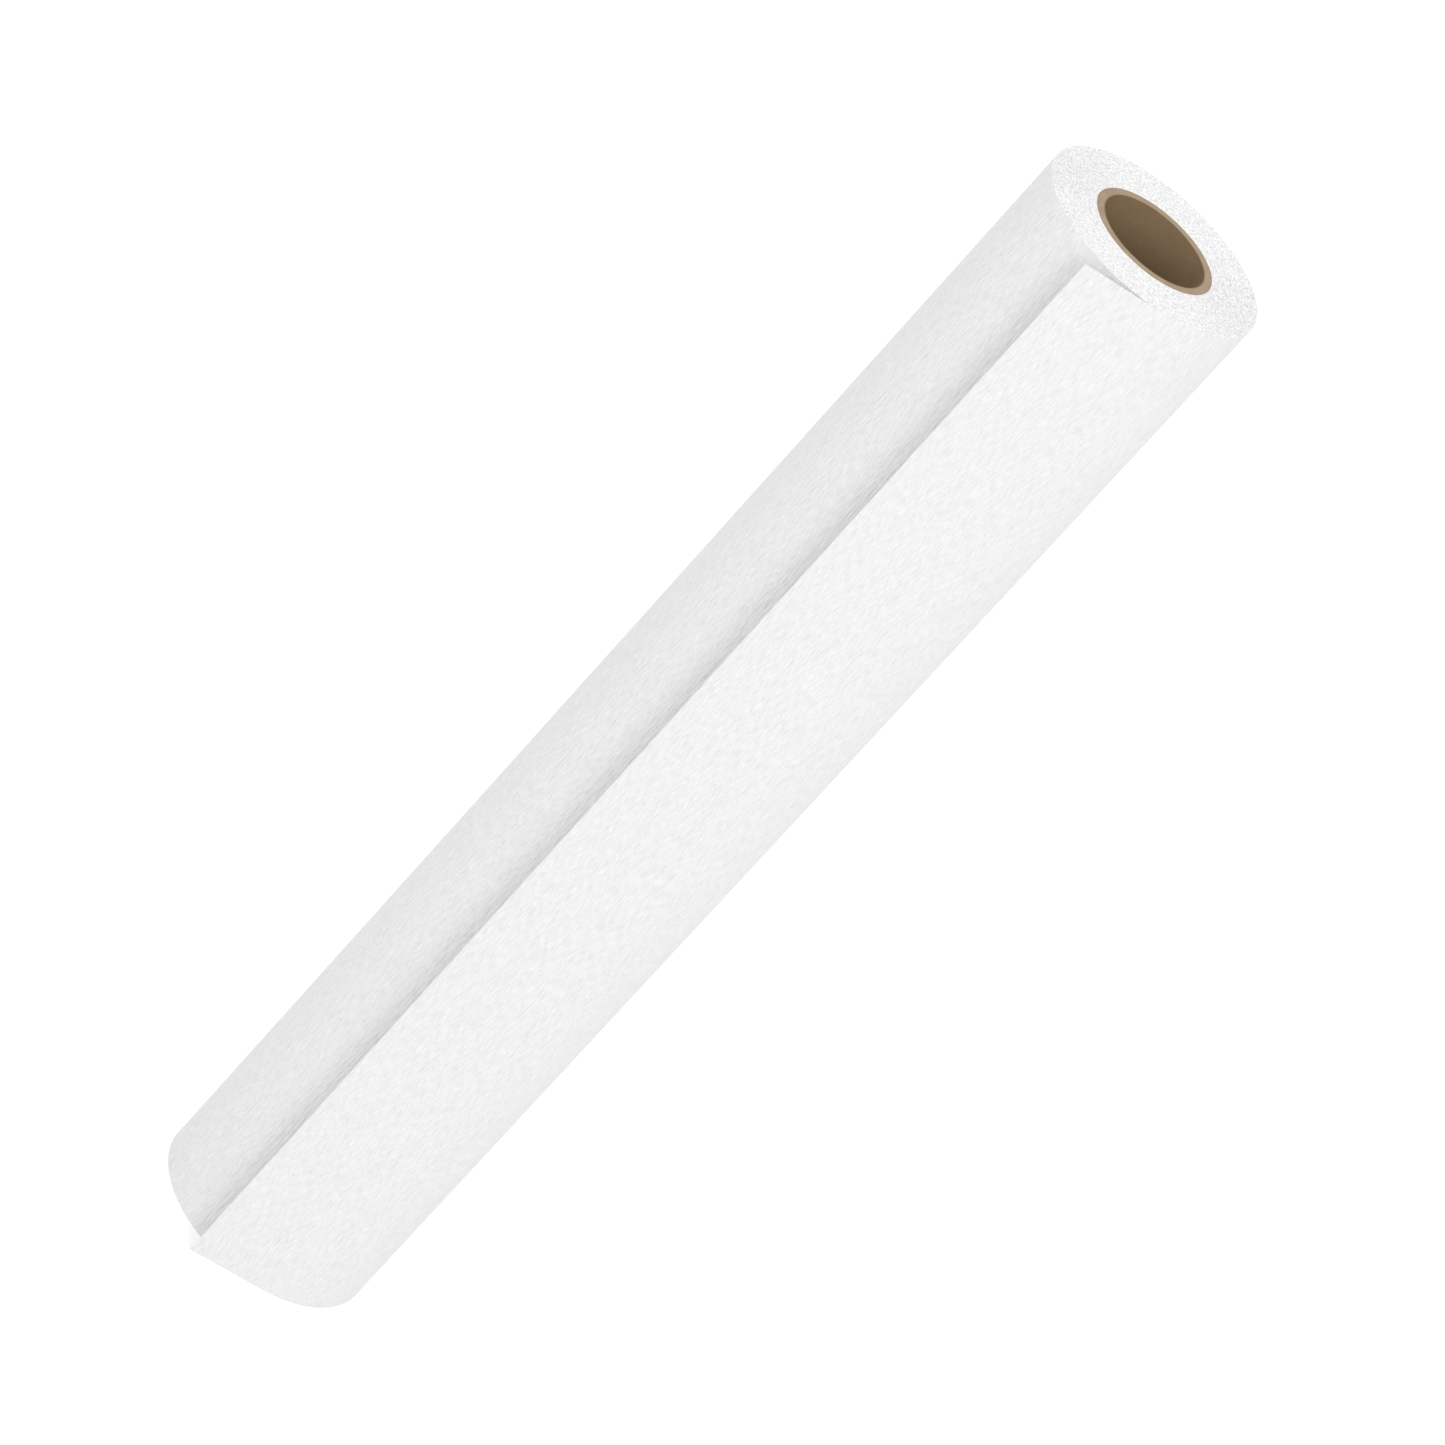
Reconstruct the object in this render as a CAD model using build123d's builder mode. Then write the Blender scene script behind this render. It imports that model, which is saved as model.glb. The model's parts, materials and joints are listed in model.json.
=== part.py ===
"""Backdrop paper roll: one long sheet of seamless background paper, wound on an open paperboard core.

The roll stands on one end. +Z is the core's axis, and the origin is the centre of the core's bore at the
lower end face. The sheet's free end leaves the roll at the front line (x = 0, y = -roll_radius) and runs
straight towards -X. Seen from +Z the sheet winds outwards clockwise, so the angle "back" below, counted
from the front line counter-clockwise, runs back along the sheet, in towards the core.
All sizes are in millimetres.
"""

from build123d import *
import math
import os

# Driving dimensions: the sheet
sheet_width = 660.4  # 26 in, the length of the roll
sheet_thickness = 0.19
air_film = 0.01  # air that is wound in between two turns
turn_count = 122
free_end_length = 40.5  # from the front line to the sheet's cut edge
free_end_strips = ("root", "middle", "tip")  # rigid strips that the flexible free end bends between
flex_gap = 0.2  # between two strips, halved by the line that they bend about

# Driving dimensions: the core
core_bore_radius = 27.0
ply_thickness = 0.57
glue_film = 0.015  # between two plies
body_ply_count = 5  # between the liner ply and the outer ply

# Driving dimensions: the tape tabs that hold the sheet's inner end to the core
tape_count = 3
tape_thickness = 0.09
tape_width = 19.0  # round the core
tape_length = 50.0  # along the core
tape_end_margin = 30.0  # from each end of the core
tape_film = 0.005  # on each side of the tape

# Derived sizes
sheet_pitch = sheet_thickness + air_film  # what one turn adds to the radius
ply_pitch = ply_thickness + glue_film
ply_count = body_ply_count + 2
core_radius = core_bore_radius + ply_count * ply_pitch - glue_film
sheet_bore_radius = core_radius + tape_thickness + 2 * tape_film
roll_radius = sheet_bore_radius + (turn_count + 1) * sheet_pitch  # outer face at the front line
inner_turn_radius = sheet_bore_radius + sheet_pitch + sheet_thickness  # the same of the inner turn
strip_length = free_end_length / len(free_end_strips)
half_flex_gap = flex_gap / 2

FRONT = -90.0  # direction of the front line, in degrees about +Z
FULL_TURN = 360.0
POINTS_PER_TURN = 48

os.makedirs("parts", exist_ok=True)


def spiral_points(front_radius, back_start=0.0, back_end=FULL_TURN):
    """Points along a turn whose radius is front_radius at the front line, one sheet_pitch less a turn back."""
    steps = max(2, round(POINTS_PER_TURN * (back_end - back_start) / FULL_TURN))
    points = []
    for step in range(steps + 1):
        back = back_start + (back_end - back_start) * step / steps
        radius = front_radius - sheet_pitch * back / FULL_TURN
        angle = math.radians(FRONT + back)
        points.append((radius * math.cos(angle), radius * math.sin(angle)))
    return points


def spiral_disc_outline(front_radius):
    """Outline of the disc inside one full turn, with the turn's step at the front line."""
    points = spiral_points(front_radius)
    with BuildLine() as outline:
        Spline(*points)
        Line(points[-1], points[0])
    return outline.edges()


def turn_band_outline(front_radius, back_start, back_end):
    """Outline of one turn of the sheet, edge on, whose outer face has front_radius at the front line."""
    outside = spiral_points(front_radius, back_start, back_end)
    inside = spiral_points(front_radius - sheet_thickness, back_start, back_end)
    with BuildLine() as outline:
        Spline(*outside)
        Line(outside[-1], inside[-1])
        Spline(*reversed(inside))
        Line(inside[0], outside[0])
    return outline.edges()


# Core: plies of paperboard, each glued over the one before
ply_names = (
    ["core_liner_ply"]
    + [f"core_body_ply_{number}" for number in range(1, body_ply_count + 1)]
    + ["core_outer_ply"]
)
for index, ply_name in enumerate(ply_names):
    ply_inner = core_bore_radius + index * ply_pitch
    with BuildPart() as ply:
        with BuildSketch(Plane.XY):
            Circle(ply_inner + ply_thickness)
            Circle(ply_inner, mode=Mode.SUBTRACT)
        extrude(amount=sheet_width)
    ply.part.label = ply_name
    export_step(ply.part, f"parts/{ply_name}.step")

# Tape: double-sided tabs on the core, under the sheet's inner end, which lies just past the front line
tape_inner = core_radius + tape_film
tape_outer = tape_inner + tape_thickness
tape_angle = math.degrees(tape_width / tape_inner)
tape_step = (sheet_width - 2 * tape_end_margin - tape_length) / (tape_count - 1)
for index in range(tape_count):
    with BuildPart() as tape:
        with BuildSketch(Plane.XY.offset(tape_end_margin + index * tape_step)):
            with BuildLine():
                outer_arc = CenterArc((0, 0), tape_outer, FRONT - tape_angle, tape_angle)
                inner_arc = CenterArc((0, 0), tape_inner, FRONT - tape_angle, tape_angle)
                Line(outer_arc @ 0, inner_arc @ 0)
                Line(outer_arc @ 1, inner_arc @ 1)
            make_face()
        extrude(amount=tape_length)
    tape_name = f"tail_tape_{index + 1}"
    tape.part.label = tape_name
    export_step(tape.part, f"parts/{tape_name}.step")

# Sheet, inner turn: its inner end is at the front line, and the next turn climbs over it
seat_back = math.degrees(half_flex_gap / roll_radius)  # keeps a turn's cut edges clear of its neighbours
with BuildPart() as inner_turn:
    with BuildSketch(Plane.XY):
        make_face(turn_band_outline(inner_turn_radius, seat_back, FULL_TURN - seat_back))
    extrude(amount=sheet_width)
inner_turn.part.label = "inner_turn"
export_step(inner_turn.part, "parts/inner_turn.step")

# Sheet, all the turns between the inner and the outer one, which touch, so they are one solid
with BuildPart() as wound_turns:
    with BuildSketch(Plane.XY):
        make_face(spiral_disc_outline(roll_radius - sheet_pitch))
        make_face(spiral_disc_outline(inner_turn_radius + air_film), mode=Mode.SUBTRACT)
    extrude(amount=sheet_width)
wound_turns.part.label = "wound_turns"
export_step(wound_turns.part, "parts/wound_turns.step")

# Sheet, outer turn: from the front line once round the roll, to where the free end leaves it
with BuildPart() as outer_turn:
    with BuildSketch(Plane.XY):
        make_face(turn_band_outline(roll_radius, seat_back, FULL_TURN - seat_back))
    extrude(amount=sheet_width)
outer_turn.part.label = "outer_turn"
export_step(outer_turn.part, "parts/outer_turn.step")

# Sheet, free end: flat strips that leave the roll on its tangent, each bending about a line between strips
for index, strip_place in enumerate(free_end_strips):
    start = index * strip_length + half_flex_gap
    is_last = index == len(free_end_strips) - 1
    end = (index + 1) * strip_length - (0 if is_last else half_flex_gap)
    with BuildPart() as strip:
        with BuildSketch(Plane.XY):
            with Locations((-start, -roll_radius)):
                Rectangle(end - start, sheet_thickness, align=(Align.MAX, Align.MIN))
        extrude(amount=sheet_width)
    strip.part.label = f"free_end_{strip_place}"
    export_step(strip.part, f"parts/free_end_{strip_place}.step")

print(f"core radius {core_radius:.3f}, sheet bore {sheet_bore_radius:.3f}, roll radius {roll_radius:.3f}")
print(f"sheet length {math.pi * (roll_radius**2 - sheet_bore_radius**2) / sheet_pitch / 1000:.1f} m")
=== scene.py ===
"""Looks of a backdrop paper roll: white paper wound on a brown board core, with a free end that lifts.

The roll stands on its lower end. +Z runs up the core's axis, and the free end leaves at the front line
(x = 0, y = -radius) and runs towards -X. Everything is in metres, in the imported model's own frame.
"""

from __future__ import annotations

import json
import logging
import math
from dataclasses import dataclass
from enum import Enum

import bpy
from mathutils import Matrix, Vector, noise


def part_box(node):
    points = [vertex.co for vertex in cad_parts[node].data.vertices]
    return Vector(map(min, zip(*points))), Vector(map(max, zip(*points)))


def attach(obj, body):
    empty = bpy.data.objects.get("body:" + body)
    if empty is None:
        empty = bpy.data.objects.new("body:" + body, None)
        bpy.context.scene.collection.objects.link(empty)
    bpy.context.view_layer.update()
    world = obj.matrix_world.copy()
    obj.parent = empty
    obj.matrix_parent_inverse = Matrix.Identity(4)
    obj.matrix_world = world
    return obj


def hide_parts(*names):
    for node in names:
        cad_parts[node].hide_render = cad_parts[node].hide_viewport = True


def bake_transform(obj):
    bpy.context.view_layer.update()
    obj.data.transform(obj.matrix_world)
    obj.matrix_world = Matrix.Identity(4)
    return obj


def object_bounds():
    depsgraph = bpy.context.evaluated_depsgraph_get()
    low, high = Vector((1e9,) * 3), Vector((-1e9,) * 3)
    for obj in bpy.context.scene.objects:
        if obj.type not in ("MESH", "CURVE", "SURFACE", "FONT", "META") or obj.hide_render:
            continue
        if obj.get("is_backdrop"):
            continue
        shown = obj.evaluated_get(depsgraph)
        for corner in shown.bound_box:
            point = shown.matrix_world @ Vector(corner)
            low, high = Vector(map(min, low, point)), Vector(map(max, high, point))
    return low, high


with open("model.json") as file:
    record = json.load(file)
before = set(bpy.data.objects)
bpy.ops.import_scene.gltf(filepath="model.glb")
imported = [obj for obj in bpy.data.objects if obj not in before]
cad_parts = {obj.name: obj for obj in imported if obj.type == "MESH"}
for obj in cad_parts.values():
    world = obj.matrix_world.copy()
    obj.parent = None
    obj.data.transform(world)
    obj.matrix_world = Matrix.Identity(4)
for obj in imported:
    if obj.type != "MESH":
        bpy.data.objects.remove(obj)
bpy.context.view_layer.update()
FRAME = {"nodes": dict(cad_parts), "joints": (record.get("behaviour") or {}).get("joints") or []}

LOG = logging.getLogger("paper_roll")
FULL_TURN = 2 * math.pi
FRONT = -math.pi / 2  # direction of the front line about +Z

WHITE = (1.0, 1.0, 1.0, 1.0)

Socket = bpy.types.NodeSocket
Colour = tuple[float, float, float]
Range = tuple[float, float]
Paint = tuple[Socket, Socket, float]  # colour, height for the bump, and the bump's distance in metres


class End(Enum):
    """The roll's two ends, by the way each one faces along +Z."""

    LOWER = -1
    UPPER = 1


@dataclass(frozen=True)
class RollSizes:
    """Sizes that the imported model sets, in metres.

    Attributes:
        width: The sheet's width, which is the roll's length.
        radius: The roll's radius at the front line, outside the last turn.
        thickness: The sheet's thickness.
        pitch: What one turn adds to the radius: the sheet and a film of air.
        free_end: Length of the free end, from the front line to the cut edge.
        strip: Length of each of the three stretches that the free end bends between.
        core: The core's outer radius.
        wound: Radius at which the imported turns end, at the front line.
    """

    width: float
    radius: float
    thickness: float
    pitch: float
    free_end: float
    strip: float
    core: float
    wound: float

    @classmethod
    def from_frame(cls) -> RollSizes:
        """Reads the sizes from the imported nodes' boxes.

        Returns:
            The sizes that every visual piece is built from.
        """
        low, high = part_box("wound_turns")
        root_low, root_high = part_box("free_end_root")
        tip_low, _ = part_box("free_end_tip")
        _, core_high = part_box("core_outer_ply")
        joints = {joint["name"]: joint for joint in FRAME["joints"]}
        return cls(
            width=high.z - low.z,
            radius=-root_low.y,
            thickness=root_high.y - root_low.y,
            pitch=low.y - root_low.y,
            free_end=-tip_low.x,
            strip=-joints["free_end_curl"]["pos_m"][0],
            core=core_high.x,
            wound=-low.y,
        )


SIZES = RollSizes.from_frame()


@dataclass(frozen=True)
class Pattern:
    """A noise that makes a finish uneven.

    Attributes:
        scale: Features per metre.
        detail: How many finer layers it has.
        roughness: How strong the finer layers are.
    """

    scale: float
    detail: float = 2.0
    roughness: float = 0.5


@dataclass
class NodeMaker:
    """Short ways to add and link shader or geometry nodes in one tree.

    Attributes:
        tree: The node tree that the nodes go into.
    """

    tree: bpy.types.NodeTree

    def add(self, kind: str, **settings: object) -> bpy.types.Node:
        """Adds a node.

        Args:
            kind: The node's type name.
            **settings: The node's own properties, such as operation.

        Returns:
            The new node.
        """
        node = self.tree.nodes.new(kind)
        for name, value in settings.items():
            setattr(node, name, value)
        return node

    def feed(self, kind: str, inputs: dict[str, object], **settings: object) -> bpy.types.Node:
        """Adds a node and feeds its inputs.

        Args:
            kind: The node's type name.
            inputs: A socket or a value for each input that is fed, by the input's name.
            **settings: The node's own properties.

        Returns:
            The new node.
        """
        node = self.add(kind, **settings)
        for name, source in inputs.items():
            self.link(source, node.inputs[name])
        return node

    def link(self, source: object, target: Socket) -> None:
        """Links an output socket to an input socket, or sets the input where source is a plain value.

        Args:
            source: An output socket, or a value.
            target: The input socket.
        """
        if isinstance(source, Socket):
            self.tree.links.new(source, target)
        else:
            target.default_value = source

    def calc(self, operation: str, *inputs: object) -> Socket:
        """Adds a scalar Math node.

        Args:
            operation: The Math node's operation.
            *inputs: Sockets or numbers for its inputs, in order.

        Returns:
            The node's output.
        """
        node = self.add("ShaderNodeMath", operation=operation)
        for source, target in zip(inputs, node.inputs):
            self.link(source, target)
        return node.outputs[0]

    def vector_math(self, operation: str, *inputs: object) -> Socket:
        """Adds a Vector Math node.

        Args:
            operation: The Vector Math node's operation.
            *inputs: Sockets or vectors for its inputs, in order.

        Returns:
            The node's vector output.
        """
        node = self.add("ShaderNodeVectorMath", operation=operation)
        for source, target in zip(inputs, node.inputs):
            self.link(source, target)
        return node.outputs[0]

    def combine(self, *parts: object) -> Socket:
        """Adds a Combine XYZ node.

        Args:
            *parts: Sockets or numbers for X, Y and Z, in order. What is left out stays 0.

        Returns:
            The vector.
        """
        node = self.add("ShaderNodeCombineXYZ")
        for source, target in zip(parts, node.inputs):
            self.link(source, target)
        return node.outputs[0]

    def pattern(self, place: object, pattern: Pattern) -> Socket:
        """Adds a Noise Texture.

        Args:
            place: Where it is read.
            pattern: Its scale, detail and roughness.

        Returns:
            Its value output.
        """
        inputs = {
            "Vector": place, "Scale": pattern.scale, "Detail": pattern.detail, "Roughness": pattern.roughness,
        }
        return self.feed("ShaderNodeTexNoise", inputs).outputs[0]

    def weigh(self, first: Socket, second: Socket, share: float) -> Socket:
        """Mixes two patterns.

        Args:
            first: One pattern.
            second: The other.
            share: The second one's share of the mix.

        Returns:
            The mixed pattern.
        """
        first_part = self.calc("MULTIPLY", first, 1.0 - share)
        second_part = self.calc("MULTIPLY", second, share)
        return self.calc("ADD", first_part, second_part)

    def spread(self, value: object, given: Range, wanted: Range) -> Socket:
        """Adds a Map Range node.

        Args:
            value: What is mapped.
            given: The two values that the mapping starts from.
            wanted: What those two become.

        Returns:
            The mapped value.
        """
        inputs = {
            "Value": value,
            "From Min": given[0], "From Max": given[1],
            "To Min": wanted[0], "To Max": wanted[1],
        }
        return self.feed("ShaderNodeMapRange", inputs).outputs["Result"]

    def grey(self, value: Socket) -> Socket:
        """Turns a number into a grey colour.

        Args:
            value: The number.

        Returns:
            The grey.
        """
        node = self.add("ShaderNodeCombineColor")
        for target in node.inputs:
            self.link(value, target)
        return node.outputs[0]

    def mix_colour(self, share: object, first: object, second: object, blend: str = "MIX") -> Socket:
        """Adds a colour Mix node.

        Args:
            share: How much of second shows.
            first: A colour or socket.
            second: A colour or socket.
            blend: The node's blend type.

        Returns:
            The mixed colour.
        """
        node = self.add("ShaderNodeMix", data_type="RGBA", blend_type=blend)
        self.link(share, node.inputs["Factor"])
        colours = [socket for socket in node.inputs if socket.type == "RGBA"]
        for source, target in zip((first, second), colours):
            self.link(source if isinstance(source, Socket) else (*source, 1.0), target)
        return next(socket for socket in node.outputs if socket.type == "RGBA")


@dataclass(frozen=True)
class Finish:
    """One material, built from nodes. Each kind of surface gives its own colour and bump.

    Attributes:
        name: The material's name.
        colour: Albedo, linear, before a pattern shades it.
        roughness: The shader's roughness.
        specular: The shader's specular level.
        glow: Strength of the white light that the surface gives off.
    """

    name: str
    colour: Colour
    roughness: float = 0.8
    specular: float = 0.25
    glow: float = 0.0

    def where(self, nodes: NodeMaker) -> Socket:
        """Gives the place that the pattern is read at, in metres: in the roll's own frame.

        Args:
            nodes: The material's node maker.

        Returns:
            The coordinates.
        """
        return nodes.add("ShaderNodeTexCoord").outputs["Object"]

    def shaded(
        self, nodes: NodeMaker, value: Socket, contrast: Range, dark: float, light: float = 1.0
    ) -> Socket:
        """Shades the finish's colour with a pattern.

        Args:
            nodes: The material's node maker.
            value: The pattern.
            contrast: The pattern's values at which the shade is darkest and lightest.
            dark: Share of the colour that is left at the darkest.
            light: The same at the lightest.

        Returns:
            The shaded colour.
        """
        shade = nodes.spread(value, contrast, (dark, light))
        return nodes.mix_colour(1.0, self.colour, nodes.grey(shade), "MULTIPLY")

    def paint(self, nodes: NodeMaker, place: Socket) -> Paint:
        """Gives the colour and the relief of the surface.

        Args:
            nodes: The material's node maker.
            place: What where() gives.

        Returns:
            The colour, the height for the bump and the bump's distance in metres.
        """
        raise NotImplementedError

    def make(self) -> bpy.types.Material:
        """Builds the material.

        Returns:
            The finished material.
        """
        material = bpy.data.materials.new(self.name)
        material.use_nodes = True
        material.node_tree.nodes.clear()
        nodes = NodeMaker(material.node_tree)
        shader = nodes.feed(
            "ShaderNodeBsdfPrincipled", {"Roughness": self.roughness, "Specular IOR Level": self.specular}
        )
        nodes.feed("ShaderNodeOutputMaterial", {"Surface": shader.outputs[0]})
        if self.glow:
            shader.inputs["Emission Color"].default_value = WHITE
            shader.inputs["Emission Strength"].default_value = self.glow
        colour, height, distance = self.paint(nodes, self.where(nodes))
        nodes.link(colour, shader.inputs["Base Color"])
        bump = nodes.feed("ShaderNodeBump", {"Strength": 1.0, "Distance": distance, "Height": height})
        nodes.link(bump.outputs[0], shader.inputs["Normal"])
        return material


@dataclass(frozen=True)
class PaperFace(Finish):
    """The sheet's smooth face. Its pattern is laid out on the flat sheet, so it bends with the free end.

    Attributes:
        fibres: The fibres that show in the face.
        grains: The grains between them.
        clouds: The wide, faint clouds of an uneven web.
        ridges: The ridges where fibres lie over each other.
        slimness: A fibre's width over its length. Fibres and ridges run along the roll.
        cloud_slimness: The same for a cloud.
        grain_share: The grains' share beside the fibres.
        cloud_share: The clouds' share of the whole pattern.
        contrast: The pattern's darkest and lightest values.
        tone: How much the darkest fibre darkens the paper.
        relief: Height of the ridges.
    """

    fibres: Pattern = Pattern(1500.0, 2.0, 0.55)
    grains: Pattern = Pattern(1900.0, 2.0, 0.6)
    clouds: Pattern = Pattern(110.0)
    ridges: Pattern = Pattern(700.0, 1.0)
    slimness: float = 0.13
    cloud_slimness: float = 0.3
    grain_share: float = 0.45
    cloud_share: float = 0.05
    contrast: Range = (0.36, 0.64)
    tone: float = 0.18
    relief: float = 0.0008

    def where(self, nodes: NodeMaker) -> Socket:
        """The place on the flat sheet, in metres."""
        return nodes.add("ShaderNodeTexCoord").outputs["UV"]

    def paint(self, nodes: NodeMaker, place: Socket) -> Paint:
        """See Finish.paint."""
        along = nodes.vector_math("MULTIPLY", place, (1.0, self.slimness, 1.0))
        cloudy = nodes.vector_math("MULTIPLY", place, (1.0, self.cloud_slimness, 1.0))
        fibres = nodes.pattern(along, self.fibres)
        grains = nodes.pattern(place, self.grains)
        clouds = nodes.pattern(cloudy, self.clouds)
        mottle = nodes.weigh(nodes.weigh(fibres, grains, self.grain_share), clouds, self.cloud_share)
        colour = self.shaded(nodes, mottle, self.contrast, 1.0 - self.tone)
        return colour, nodes.pattern(along, self.ridges), self.relief


@dataclass(frozen=True)
class PaperEdge(Finish):
    """The sheet's cut edges, wound side by side into an end face, with torn fibre between them.

    Attributes:
        waves: What bends the fibres out of line.
        reach: How far it bends them.
        fine: The fine cut fibres.
        coarse: The coarse ones.
        slimness: A fine fibre's width over its length.
        coarse_share: The coarse fibres' share.
        contrast: The pattern's darkest and lightest values.
        tone: How much the cut fibres darken the face.
        relief: Height of the cut fibres.
    """

    waves: Pattern = Pattern(260.0)
    reach: float = 0.002
    fine: Pattern = Pattern(1350.0, 3.0, 0.65)
    coarse: Pattern = Pattern(600.0)
    slimness: float = 0.55
    coarse_share: float = 0.25
    contrast: Range = (0.33, 0.6)
    tone: float = 0.4
    relief: float = 0.0005

    def paint(self, nodes: NodeMaker, place: Socket) -> Paint:
        """See Finish.paint."""
        waves = nodes.vector_math("MULTIPLY", nodes.pattern(place, self.waves), (self.reach,) * 3)
        bent = nodes.vector_math("ADD", place, waves)
        along = nodes.vector_math("MULTIPLY", bent, (1.0, self.slimness, 1.0))
        fine = nodes.pattern(along, self.fine)
        coarse = nodes.pattern(bent, self.coarse)
        height = nodes.weigh(fine, coarse, self.coarse_share)
        return self.shaded(nodes, height, self.contrast, 1.0 - self.tone), height, self.relief


@dataclass(frozen=True)
class Board(Finish):
    """Kraft paperboard: unevenly brown, with dark flecks of recycled fibre.

    Attributes:
        fibres: The board's fibres.
        clouds: Its wide clouds.
        cloud_share: The clouds' share beside the fibres.
        contrast: The pattern's darkest and lightest values.
        tone: How strongly the pattern varies the brown.
        flecks: The dark flecks.
        fleck: Their albedo.
        fleck_range: The values of flecks at which a fleck starts and is full.
        fleck_cover: How much of the board's own colour a full fleck hides.
        relief: Height of the fibres.
    """

    fibres: Pattern = Pattern(900.0, 4.0, 0.6)
    clouds: Pattern = Pattern(130.0, 3.0)
    cloud_share: float = 0.5
    contrast: Range = (0.3, 0.7)
    tone: float = 0.16
    flecks: Pattern = Pattern(1700.0, 1.0)
    fleck: Colour = (0.22, 0.15, 0.09)
    fleck_range: Range = (0.68, 0.78)
    fleck_cover: float = 0.5
    relief: float = 0.0001

    def paint(self, nodes: NodeMaker, place: Socket) -> Paint:
        """See Finish.paint."""
        fibres = nodes.pattern(place, self.fibres)
        clouds = nodes.pattern(place, self.clouds)
        flecks = nodes.pattern(place, self.flecks)
        mottle = nodes.weigh(fibres, clouds, self.cloud_share)
        brown = self.shaded(nodes, mottle, self.contrast, 1.0 - self.tone, 1.0 + self.tone / 2)
        cover = nodes.spread(flecks, self.fleck_range, (0.0, self.fleck_cover))
        return nodes.mix_colour(cover, brown, self.fleck), mottle, self.relief


@dataclass(frozen=True)
class CloudyFinish(Finish):
    """An even finish with faint clouds.

    Attributes:
        clouds: The clouds.
        contrast: Their darkest and lightest values.
        tone: How much they darken the finish.
        relief: Their height.
    """

    clouds: Pattern = Pattern(300.0)
    contrast: Range = (0.3, 0.7)
    tone: float = 0.06
    relief: float = 0.00002

    def paint(self, nodes: NodeMaker, place: Socket) -> Paint:
        """See Finish.paint."""
        clouds = nodes.pattern(place, self.clouds)
        return self.shaded(nodes, clouds, self.contrast, 1.0 - self.tone), clouds, self.relief


@dataclass(frozen=True)
class TapeFilm(CloudyFinish):
    """Pale double-sided tape, slightly cloudy."""


@dataclass(frozen=True)
class PaleFloor(CloudyFinish):
    """The studio floor: plain, white and even, with clouds too faint and wide to notice."""

    clouds: Pattern = Pattern(3.0, 1.0)
    tone: float = 0.005
    relief: float = 0.0


@dataclass(frozen=True)
class Finishes:
    """Every material of the roll, built once.

    Attributes:
        paper: The sheet's face.
        edges: The sheet's cut edges, side by side.
        board: The core's body plies.
        liner: The core's innermost ply, in a darker brown that is painted shade for the inside of the bore.
        outer_board: The core's outermost ply.
        tape: The tape at the sheet's inner end.
    """

    paper: bpy.types.Material
    edges: bpy.types.Material
    board: bpy.types.Material
    liner: bpy.types.Material
    outer_board: bpy.types.Material
    tape: bpy.types.Material

    @classmethod
    def build(cls) -> Finishes:
        """Builds the materials.

        Returns:
            The finished materials.
        """
        return cls(
            paper=PaperFace("white_sheet", (0.85, 0.85, 0.85)).make(),
            edges=PaperEdge("sheet_edges", (0.97, 0.97, 0.97)).make(),
            board=Board("core_board", (0.372, 0.276, 0.19)).make(),
            # painted shade: the liner's brown is darker than the board's to stand for the shade inside the
            # bore
            liner=Board("core_liner_board_painted_shade", (0.30, 0.212, 0.12)).make(),
            outer_board=Board("core_outer_board", (0.36, 0.25, 0.16)).make(),
            tape=TapeFilm("tape_film", (0.8, 0.77, 0.68)).make(),
        )


@dataclass
class Core:
    """The board core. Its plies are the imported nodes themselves, which only need their finish.

    Attributes:
        finishes: The roll's materials.
    """

    finishes: Finishes

    def dress(self) -> None:
        """Gives each ply its board."""
        # the innermost ply takes the brown that is darkened with painted bore shade
        boards = {"core_liner_ply": self.finishes.liner, "core_outer_ply": self.finishes.outer_board}
        for name, node in FRAME["nodes"].items():
            if name.startswith("core_"):
                set_material(node, boards.get(name, self.finishes.board))
                LOG.info("%s: dressed", name)


@dataclass
class TailTape:
    """The tape tabs that hold the sheet's inner end to the core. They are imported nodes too.

    Attributes:
        finishes: The roll's materials.
    """

    finishes: Finishes

    def dress(self) -> None:
        """Gives each tab its film."""
        for name, node in FRAME["nodes"].items():
            if name.startswith("tail_tape"):
                set_material(node, self.finishes.tape)
                LOG.info("%s: dressed", name)


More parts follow.
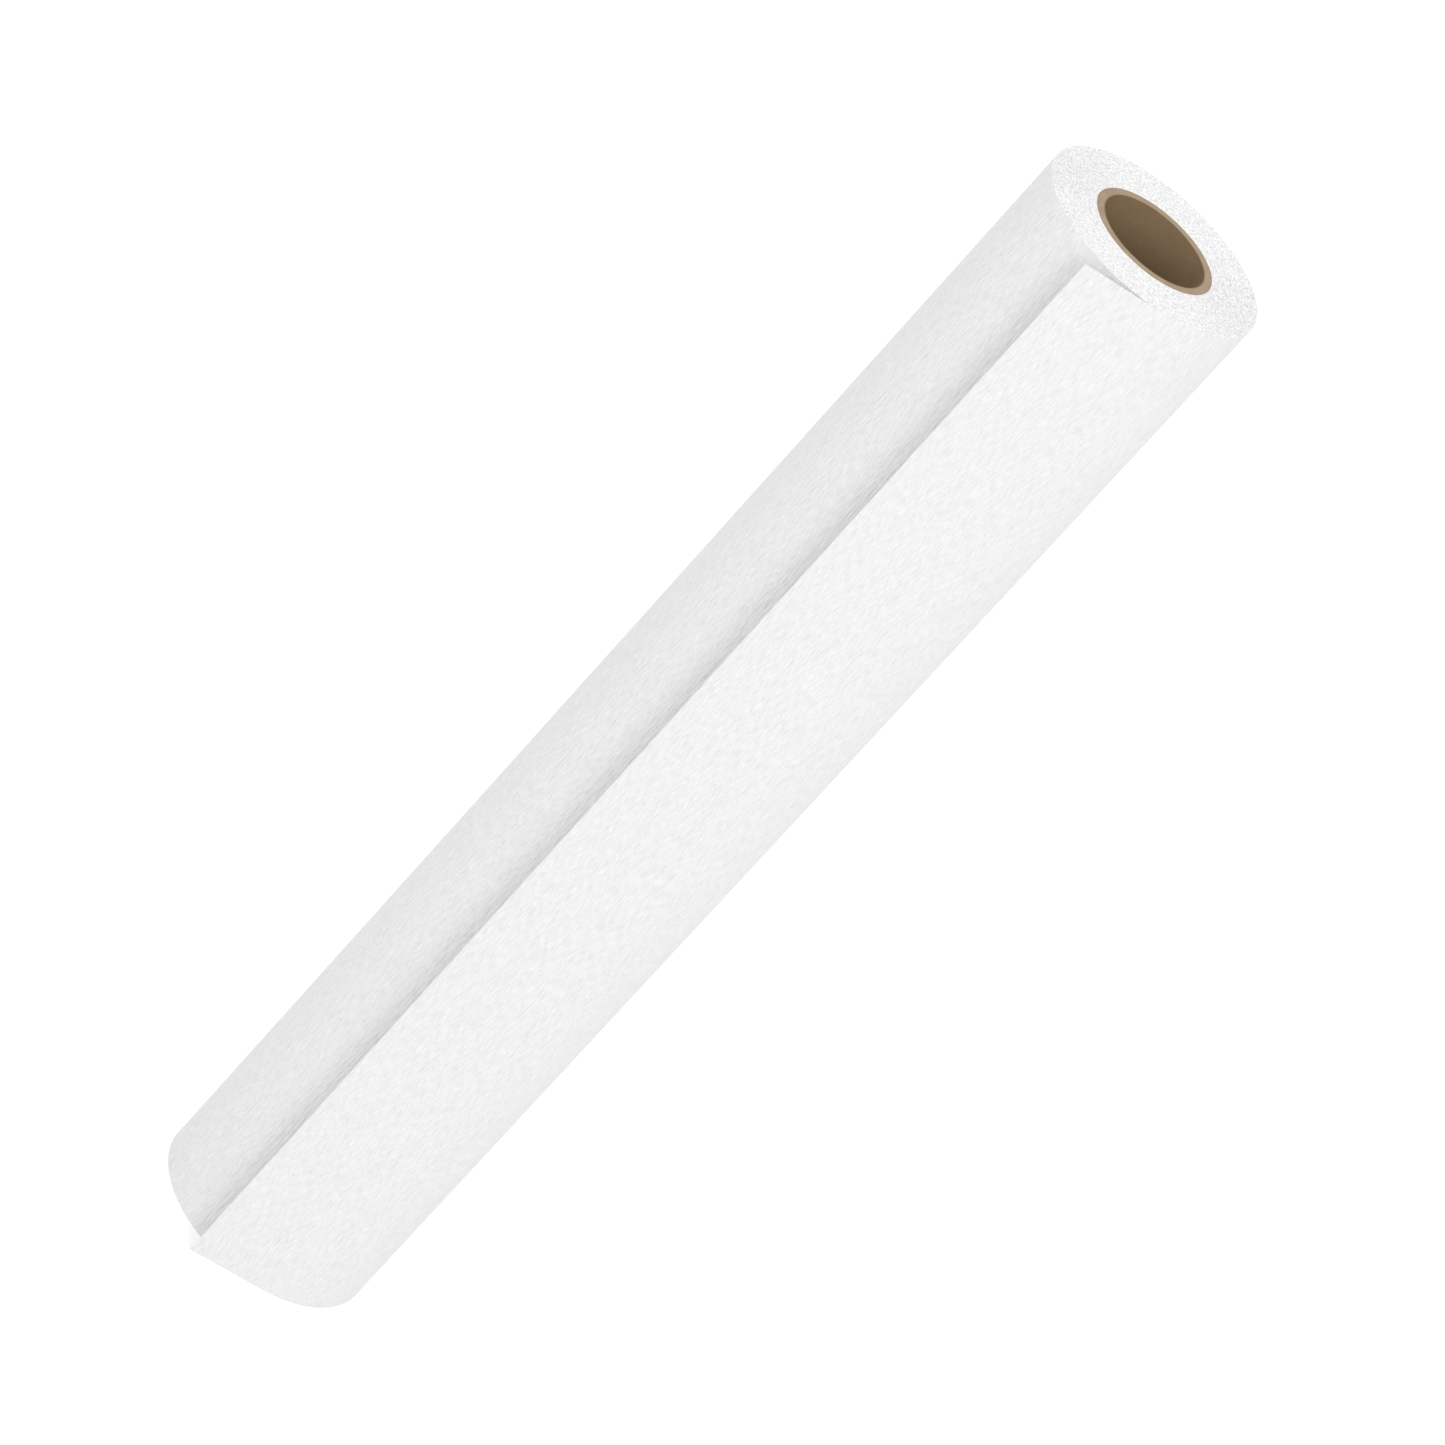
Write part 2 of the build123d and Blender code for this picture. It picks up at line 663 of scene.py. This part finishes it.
@dataclass
class WoundSheet:
    """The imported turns. Their edges at each end are a spiral that Geometry Nodes sweep.

    Attributes:
        finishes: The roll's materials.
        stand: How far the sheet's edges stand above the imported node's flat end, on average.
        wander: How far one turn's edge strays from the next.
        drifts: How many times a turn it does so.
        drift_detail: How many finer layers the straying has.
        seed: What the straying starts from.
        seat: How far the innermost edge stays clear of the core.
        sink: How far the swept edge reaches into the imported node.
        chamfer: The crush of the sheet's cut corners.
        steps: Points in a turn.
    """

    finishes: Finishes
    stand: float = 0.00006
    wander: float = 0.0002
    drifts: float = 5.0
    drift_detail: float = 3.0
    seed: float = 3.0
    seat: float = 0.00003
    sink: float = 0.0004
    chamfer: float = 0.00004
    steps: int = 72

    def build(self) -> None:
        """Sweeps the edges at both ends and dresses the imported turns."""
        for name in ("wound_turns", "inner_turn"):
            set_material(FRAME["nodes"][name], self.finishes.edges)
        for end in End:
            piece = self.sweep(end)
            set_material(piece, self.finishes.edges)
            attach(piece, "roll")
            LOG.info("%s: %d faces", piece.name, len(piece.data.polygons))

    def sweep(self, end: End) -> bpy.types.Object:
        """Sweeps the sheet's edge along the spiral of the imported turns.

        Args:
            end: Which end of the roll.

        Returns:
            The plain mesh.
        """
        inner = SIZES.core + self.seat + SIZES.thickness / 2
        outer = SIZES.wound - SIZES.thickness / 2
        tree = self.spiral_tree()
        holder = bpy.data.objects.new(f"edge_holder_{end.name.lower()}", bpy.data.meshes.new("edge_holder"))
        bpy.context.scene.collection.objects.link(holder)
        modifier = holder.modifiers.new("spiral", "NODES")
        modifier.node_group = tree
        values = {
            "Turns": float(round((outer - inner) / SIZES.pitch)),
            "Inner": inner,
            "Outer": outer,
            "Steps": self.steps,
            "Width": SIZES.thickness,
            "Chamfer": self.chamfer,
            "Sink": self.sink,
            "Stand": self.stand,
            "Wander": self.wander,
            "Seed": self.seed + end.value,
            "Finish": self.finishes.edges,
        }
        for item in tree.interface.items_tree:
            if item.item_type == "SOCKET" and item.in_out == "INPUT" and item.name in values:
                modifier[item.identifier] = values[item.name]
        graph = bpy.context.evaluated_depsgraph_get()
        mesh = bpy.data.meshes.new_from_object(holder.evaluated_get(graph))
        bpy.data.objects.remove(holder)
        if end is End.UPPER:
            mesh.transform(Matrix.Translation((0, 0, SIZES.width)))
        else:
            mesh.transform(Matrix.Scale(-1, 4, (0, 0, 1)))
            mesh.flip_normals()  # the mirror turned the faces inwards
        piece = bpy.data.objects.new(f"sheet_edges_{end.name.lower()}", mesh)
        bpy.context.scene.collection.objects.link(piece)
        return piece

    def spiral_tree(self) -> bpy.types.NodeTree:
        """Builds the node tree that sweeps the sheet's edge along a spiral, the first time it is asked for.

        Returns:
            The tree, which the two ends share.
        """
        name = "sheet_edge_spiral"
        if name in bpy.data.node_groups:
            return bpy.data.node_groups[name]
        tree = bpy.data.node_groups.new(name, "GeometryNodeTree")
        lengths = ("Inner", "Outer", "Width", "Chamfer", "Sink", "Stand", "Wander")
        kinds = {label: "NodeSocketFloat" for label in ("Turns", "Seed", *lengths)}
        kinds |= {"Steps": "NodeSocketInt", "Finish": "NodeSocketMaterial"}
        tree.interface.new_socket("Geometry", in_out="INPUT", socket_type="NodeSocketGeometry")
        for label, kind in kinds.items():
            tree.interface.new_socket(label, in_out="INPUT", socket_type=kind)
        tree.interface.new_socket("Geometry", in_out="OUTPUT", socket_type="NodeSocketGeometry")
        nodes = NodeMaker(tree)
        given = nodes.add("NodeGroupInput").outputs
        line = self.edge_line(nodes, given)
        section = self.edge_section(nodes, given)
        sweep_inputs = {"Curve": line, "Profile Curve": section, "Fill Caps": True}
        sweep = nodes.feed("GeometryNodeCurveToMesh", sweep_inputs)
        real = nodes.feed("GeometryNodeRealizeInstances", {"Geometry": sweep.outputs[0]})
        dressing = {"Geometry": real.outputs[0], "Material": given["Finish"]}
        dressed = nodes.feed("GeometryNodeSetMaterial", dressing)
        nodes.feed("NodeGroupOutput", {"Geometry": dressed.outputs[0]})
        return tree

    def edge_line(self, nodes: NodeMaker, given: bpy.types.bpy_prop_collection) -> Socket:
        """Adds the line that the sheet's edge follows: a flat spiral whose height strays.

        Args:
            nodes: The tree's node maker.
            given: The tree's inputs.

        Returns:
            The curve.
        """
        sizes = {
            "Resolution": given["Steps"], "Rotations": given["Turns"],
            "Start Radius": given["Outer"], "End Radius": given["Inner"], "Height": 0.0,
        }
        spiral = nodes.feed("GeometryNodeCurveSpiral", sizes)
        turn = {"Geometry": spiral.outputs[0], "Rotation": (0.0, 0.0, FRONT)}
        turned = nodes.feed("GeometryNodeTransform", turn)
        upright = nodes.feed("GeometryNodeSetCurveNormal", {"Curve": turned.outputs[0]}, mode="Z_UP")
        factor = nodes.add("GeometryNodeSplineParameter").outputs["Factor"]
        walked = nodes.calc("MULTIPLY", nodes.calc("MULTIPLY", factor, given["Turns"]), self.drifts)
        walk = {"Vector": nodes.combine(walked, given["Seed"]), "Scale": 1.0, "Detail": self.drift_detail}
        drift = nodes.feed("ShaderNodeTexNoise", walk, noise_dimensions="2D")
        stray = nodes.calc("MULTIPLY", nodes.calc("SUBTRACT", drift.outputs[0], 0.5), given["Wander"])
        lift = nodes.combine(0.0, 0.0, nodes.calc("ADD", stray, given["Stand"]))
        raised = nodes.feed("GeometryNodeSetPosition", {"Geometry": upright.outputs[0], "Offset": lift})
        return raised.outputs[0]

    def edge_section(self, nodes: NodeMaker, given: bpy.types.bpy_prop_collection) -> Socket:
        """Adds the section of the sheet's edge: a top with crushed corners over a foot that reaches down.

        The sweep turns the section over, so down is +Y here.

        Args:
            nodes: The tree's node maker.
            given: The tree's inputs.

        Returns:
            The closed curve.
        """
        height = nodes.calc("ADD", given["Sink"], given["Stand"])
        sizes = {"Height": height, "Width": given["Width"]}
        foot = nodes.feed("GeometryNodeCurvePrimitiveQuadrilateral", sizes, mode="RECTANGLE")
        drop = nodes.combine(0.0, nodes.calc("MULTIPLY", height, 0.5))
        lowered = nodes.feed("GeometryNodeTransform", {"Geometry": foot.outputs[0], "Translation": drop})
        corners = {"Curve": lowered.outputs[0], "Radius": given["Chamfer"]}
        crushed = nodes.feed("GeometryNodeFilletCurve", corners)
        return crushed.outputs[0]


@dataclass(frozen=True)
class Stretch:
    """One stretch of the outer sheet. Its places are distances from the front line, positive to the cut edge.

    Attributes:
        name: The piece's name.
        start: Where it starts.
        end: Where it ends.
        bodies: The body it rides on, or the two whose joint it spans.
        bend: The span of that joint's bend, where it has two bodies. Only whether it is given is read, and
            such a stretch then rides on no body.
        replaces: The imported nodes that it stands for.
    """

    name: str
    start: float
    end: float
    bodies: tuple[str, ...]
    bend: Range | None = None
    replaces: tuple[str, ...] = ()


@dataclass
class OuterSheet:
    """The last turn and the free end: one sheet, in stretches that meet where they move as one.

    Attributes:
        finishes: The roll's materials.
        lap: How far back on the roll the free end's first stretch starts.
        seat: How far the turn's inner end stays clear of the front line.
        bend_length: Length over which the free end bends at each line.
        overhang: How far the sheet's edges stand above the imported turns' flat ends.
        ragged: How far the cut edges stray from straight.
        rags: How many times a metre they do so.
        step_round: Longest step between points on the roll.
        step_free: Longest step between points on the free end.
        steps_along: Steps along the roll.
        sharp: Angle past which an edge stays sharp, in degrees.
    """

    finishes: Finishes
    lap: float = 0.005
    seat: float = 0.0001
    step_round: float = 0.0012
    step_free: float = 0.0005
    steps_along: int = 40
    bend_length: float = 0.009
    overhang: float = 0.00006
    ragged: float = 0.0001
    rags: float = 350.0
    sharp: float = 40.0

    def stretches(self) -> list[Stretch]:
        """The stretches, from the roll out to the cut edge.

        Returns:
            Stretches that meet end to end.
        """
        first, second = SIZES.strip, 2 * SIZES.strip
        half = self.bend_length / 2
        second_bend = first - half
        join_1 = second_bend - (second_bend - self.bend_length) / 2
        join_2 = (first + second) / 2
        round_the_roll = FULL_TURN * (SIZES.radius - SIZES.pitch / 2)
        return [
            Stretch(
                "outer_turn_sheet", self.seat - round_the_roll, -self.lap,
                bodies=("roll",), replaces=("outer_turn",),
            ),
            Stretch(
                "free_end_sheet_root", -self.lap, join_1,
                bodies=("roll", "free_end_root"), bend=(0.0, min(self.bend_length, join_1)),
                replaces=("free_end_root",),
            ),
            Stretch(
                "free_end_sheet_middle", join_1, join_2,
                bodies=("free_end_root", "free_end_middle"), bend=(second_bend, first + half),
                replaces=("free_end_middle",),
            ),
            Stretch(
                "free_end_sheet_tip", join_2, SIZES.free_end,
                bodies=("free_end_middle", "free_end_tip"), bend=(second - half, second + half),
                replaces=("free_end_tip",),
            ),
        ]

    def outer_face(self, place: float) -> tuple[Vector, Vector]:
        """A point of the sheet's outer face and the way it faces, at z = 0.

        Args:
            place: Distance along the sheet from the front line.

        Returns:
            The point and the outward unit normal.
        """
        if place >= 0:
            return Vector((-place, -SIZES.radius, 0)), Vector((0, -1, 0))
        back = -place / (SIZES.radius - SIZES.pitch / 2)
        angle = FRONT + back
        outward = Vector((math.cos(angle), math.sin(angle), 0))
        return outward * (SIZES.radius - SIZES.pitch * back / FULL_TURN), outward

    def places(self, stretch: Stretch) -> list[float]:
        """Distances along the sheet at which a stretch has points.

        Args:
            stretch: The stretch.

        Returns:
            The distances, in order, with one at the front line where the stretch crosses it.
        """
        limits = [stretch.start, stretch.end]
        if stretch.start < 0 < stretch.end:
            limits.insert(1, 0.0)
        found = [limits[0]]
        for low, high in zip(limits, limits[1:]):
            step = self.step_round if high <= 0 else self.step_free
            count = max(2, math.ceil((high - low) / step))
            found += [low + (high - low) * (index + 1) / count for index in range(count)]
        return found

    def build(self) -> None:
        """Builds and dresses every stretch, and hides the imported nodes that each one stands for."""
        for stretch in self.stretches():
            piece = self.make(stretch)
            set_material(piece, self.finishes.paper)
            if stretch.bend:
                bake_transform(piece)
            else:
                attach(piece, stretch.bodies[0])
            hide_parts(*stretch.replaces)
            LOG.info("%s: %d faces", piece.name, len(piece.data.polygons))

    def make(self, stretch: Stretch) -> bpy.types.Object:
        """Makes the closed thin mesh of a stretch.

        Args:
            stretch: The stretch.

        Returns:
            The piece, at the origin.
        """
        places = self.places(stretch)
        outer: list[Vector] = []
        inner: list[Vector] = []
        on_sheet: list[tuple[float, float]] = []
        for place in places:
            point, outward = self.outer_face(place)
            for row in range(self.steps_along + 1):
                height = self.height(place, row)
                rise = Vector((0, 0, height))
                outer.append(point + rise)
                inner.append(point - outward * SIZES.thickness + rise)
                on_sheet.append((place, height))
        mesh = bpy.data.meshes.new(stretch.name)
        mesh.from_pydata([tuple(point) for point in outer + inner], [], self.faces(len(places)))
        mesh.update()
        layer = mesh.uv_layers.new(name="place_on_sheet")
        corners = [on_sheet[loop.vertex_index % len(outer)] for loop in mesh.loops]
        layer.data.foreach_set("uv", [number for corner in corners for number in corner])
        soften(mesh, math.radians(self.sharp))
        piece = bpy.data.objects.new(stretch.name, mesh)
        bpy.context.scene.collection.objects.link(piece)
        return piece

    def height(self, place: float, row: int) -> float:
        """The height of one row of points, ragged at the sheet's two cut edges.

        Args:
            place: Distance along the sheet from the front line.
            row: The row, from the lower edge up.

        Returns:
            The height above the roll's lower end.
        """
        height = (SIZES.width + 2 * self.overhang) * row / self.steps_along - self.overhang
        if row in (0, self.steps_along):
            height += self.ragged * noise.noise(Vector((place * self.rags, row, 0)))
        return height

    def faces(self, columns: int) -> list[tuple[int, int, int, int]]:
        """The faces of a stretch: its outer and inner side, and the four edges between them.

        Args:
            columns: How many columns of points each side has.

        Returns:
            The faces, by the points' numbers. Those of the inner side follow all those of the outer one.
        """
        rows = self.steps_along + 1
        shift = columns * rows
        faces = []
        for column in range(columns - 1):
            for row in range(self.steps_along):
                a = column * rows + row
                b, c, d = a + rows, a + rows + 1, a + 1
                faces.append((a, d, c, b))
                faces.append((a + shift, b + shift, c + shift, d + shift))
            for row, turned in ((0, False), (self.steps_along, True)):
                a = column * rows + row
                rim = (a, a + rows, a + rows + shift, a + shift)
                faces.append(rim[::-1] if turned else rim)
        last = (columns - 1) * rows
        for row in range(self.steps_along):
            a = last + row
            faces.append((row, row + shift, row + 1 + shift, row + 1))
            faces.append((a, a + 1, a + 1 + shift, a + shift))
        return faces


@dataclass
class Studio:
    """Floor, lights and camera. None of it belongs to the roll.

    Attributes:
        azimuth: The camera's direction about +Z from -Y, in degrees.
        elevation: The camera's height above the horizon, in degrees.
        roll: How far the camera is turned about its own line of sight, in degrees.
        distance: From the camera to the point it looks at.
        aim: The point that it looks at.
        lens: Focal length, in millimetres.
        sensor: The sensor's width, in millimetres.
        sight: How far the camera sees.
        floor_radius: The floor's radius.
        floor_sides: How many sides the floor has.
        floor_grey: The floor's albedo.
        floor_glow: Strength of the light that the floor gives off.
        clearance: How far the floor lies below the roll's lowest point.
        horizon: Strength of the white surroundings at the horizon and below.
        zenith: Their strength straight above.
        tilt: How far the brightest part leans from straight above towards -X.
        key_power: The key light's power, in watts.
        key_size: The key light's diameter.
        key_place: Where it hangs.
        key_aim: The point that it faces.
    """

    azimuth: float = -23.44
    elevation: float = 27.69
    roll: float = 42.42
    distance: float = 3.645
    aim: tuple[float, float, float] = (0.0054, 0.0066, 0.3453)
    lens: float = 204.4
    sensor: float = 36.0
    sight: float = 100.0
    floor_radius: float = 60.0
    floor_sides: int = 64
    floor_grey: float = 0.5
    floor_glow: float = 0.53
    clearance: float = 0.0001
    horizon: float = 0.58
    zenith: float = 1.36
    tilt: float = 0.05
    key_power: float = 17.0
    key_size: float = 1.2
    key_place: tuple[float, float, float] = (0.15, -2.8, 1.8)
    key_aim: tuple[float, float, float] = (0.0, 0.0, 0.33)

    def build(self) -> None:
        """Builds the floor, the lights and the camera."""
        self.add_floor()
        self.add_lights()
        self.add_camera()
        bpy.context.scene.view_settings.view_transform = "Standard"
        bpy.context.scene.view_settings.look = "None"

    def add_floor(self) -> None:
        """Adds a round white floor under the roll."""
        angles = [FULL_TURN * side / self.floor_sides for side in range(self.floor_sides)]
        rim = [Vector((math.cos(angle), math.sin(angle), 0)) * self.floor_radius for angle in angles]
        mesh = bpy.data.meshes.new("studio_floor")
        mesh.from_pydata(rim, [], [tuple(range(self.floor_sides))])
        floor = bpy.data.objects.new("studio_floor", mesh)
        floor.location.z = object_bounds()[0].z - self.clearance
        bpy.context.scene.collection.objects.link(floor)
        set_material(floor, PaleFloor("pale_floor", (self.floor_grey,) * 3, glow=self.floor_glow).make())
        floor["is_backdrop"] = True

    def add_lights(self) -> None:
        """Adds even white surroundings and one large soft key light."""
        world = bpy.data.worlds.new("studio")
        bpy.context.scene.world = world
        world.use_nodes = True
        world.node_tree.nodes.clear()
        nodes = NodeMaker(world.node_tree)
        up = nodes.add("ShaderNodeVectorMath", operation="DOT_PRODUCT")
        nodes.link(nodes.add("ShaderNodeTexCoord").outputs["Generated"], up.inputs[0])
        nodes.link((-self.tilt, 0.0, 1.0), up.inputs[1])
        strength = nodes.spread(up.outputs["Value"], (0.0, 1.0), (self.horizon, self.zenith))
        soft = nodes.feed("ShaderNodeBackground", {"Color": WHITE, "Strength": strength})
        nodes.feed("ShaderNodeOutputWorld", {"Surface": soft.outputs[0]})
        key = bpy.data.lights.new("key", "AREA")
        key.energy = self.key_power
        key.shape = "DISK"
        key.size = self.key_size
        lamp = bpy.data.objects.new("key", key)
        lamp.location = self.key_place
        lamp.rotation_euler = (Vector(self.key_aim) - lamp.location).to_track_quat("-Z", "Y").to_euler()
        bpy.context.scene.collection.objects.link(lamp)

    def add_camera(self) -> None:
        """Adds the camera that looks down on the roll's upper end."""
        azimuth, elevation = math.radians(self.azimuth), math.radians(self.elevation)
        level = math.cos(elevation)
        back = Vector((math.sin(azimuth) * level, -math.cos(azimuth) * level, math.sin(elevation)))
        camera = bpy.data.objects.new("camera", bpy.data.cameras.new("camera"))
        camera.data.lens = self.lens
        camera.data.sensor_width = self.sensor
        camera.data.clip_end = self.sight
        camera.location = Vector(self.aim) + back * self.distance
        facing = (-back).to_track_quat("-Z", "Y").to_matrix().to_4x4()
        camera.rotation_euler = (Matrix.Rotation(math.radians(self.roll), 4, back) @ facing).to_euler()
        bpy.context.scene.collection.objects.link(camera)
        bpy.context.scene.camera = camera


def set_material(piece: bpy.types.Object, material: bpy.types.Material) -> None:
    """Gives a piece one material.

    Args:
        piece: The piece.
        material: The material.
    """
    piece.data.materials.clear()
    piece.data.materials.append(material)


def soften(mesh: bpy.types.Mesh, angle: float) -> None:
    """Shades a mesh smooth, apart from edges sharper than an angle.

    Args:
        mesh: The mesh.
        angle: The angle, in radians.
    """
    mesh.polygons.foreach_set("use_smooth", [True] * len(mesh.polygons))
    mesh.set_sharp_from_angle(angle=angle)


def main() -> None:
    """Builds the roll and the studio."""
    logging.basicConfig(level=logging.INFO)
    LOG.info("sizes: %s", SIZES)
    finishes = Finishes.build()
    Core(finishes).dress()
    TailTape(finishes).dress()
    WoundSheet(finishes).build()
    OuterSheet(finishes).build()
    Studio().build()


if __name__ == "__main__":
    main()
